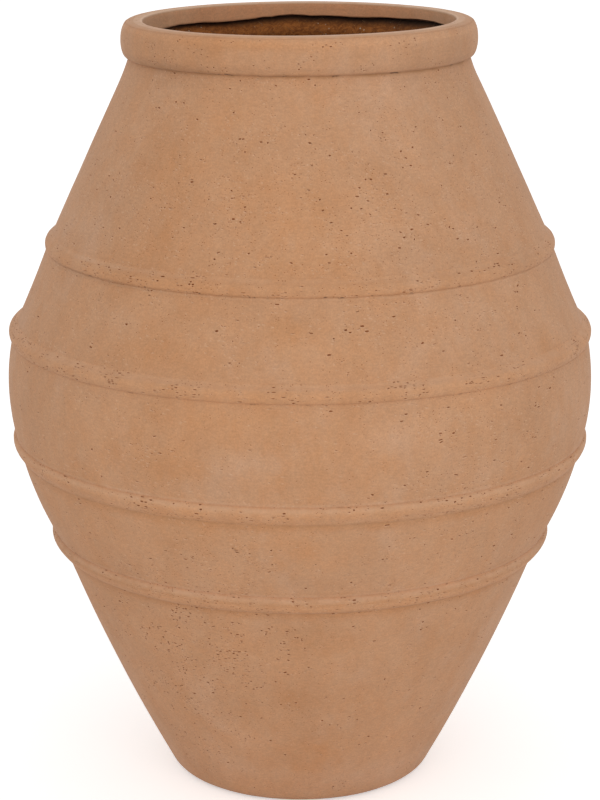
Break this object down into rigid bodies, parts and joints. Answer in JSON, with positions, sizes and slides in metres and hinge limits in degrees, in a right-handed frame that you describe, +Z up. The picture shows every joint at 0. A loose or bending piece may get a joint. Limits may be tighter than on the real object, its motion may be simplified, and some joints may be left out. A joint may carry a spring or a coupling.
{
  "type": "clay pot",
  "caption": "Tall jar-shaped terracotta planter with a heavy collar rim, a full belly, raised bands over its seams, a fibre-lined hollow and a rubber bung in its drain hole.",
  "frame": {"origin": "centre of the resting ring, on the ground, under the jar's axis", "axes": "+Z up along the jar's axis, from the foot to the mouth; X and Y are free, because the jar is round"},
  "size_m": [0.5798, 0.5798, 0.7617],
  "materials": {
    "clay": "matt, unglazed terracotta with fine moulding pits",
    "band_clay": "matt, unglazed terracotta, pitted along its lower edge",
    "fibre": "rough brown clay slurry with pale fibres",
    "rubber": "matt moulded rubber"
  },
  "bodies": {
    "jar": {"base_slab": "clay", "foot_wall": "clay", "lower_belly_wall": "clay", "belly_wall": "clay", "shoulder_wall": "clay", "neck_wall": "clay", "rim_collar": "clay", "foot_band": "band_clay", "belly_band": "band_clay", "shoulder_band": "band_clay", "neck_band": "band_clay", "floor_lining": "fibre", "foot_lining": "fibre", "belly_lining": "fibre", "neck_lining": "fibre"},
    "bung": {"drain_bung": "rubber"}
  },
  "joints": [
    {"name": "bung_lift", "type": "slide", "parent": "jar", "child": "bung", "axis": [0, 0, 1], "range_m": [0, 0.8]}
  ]
}
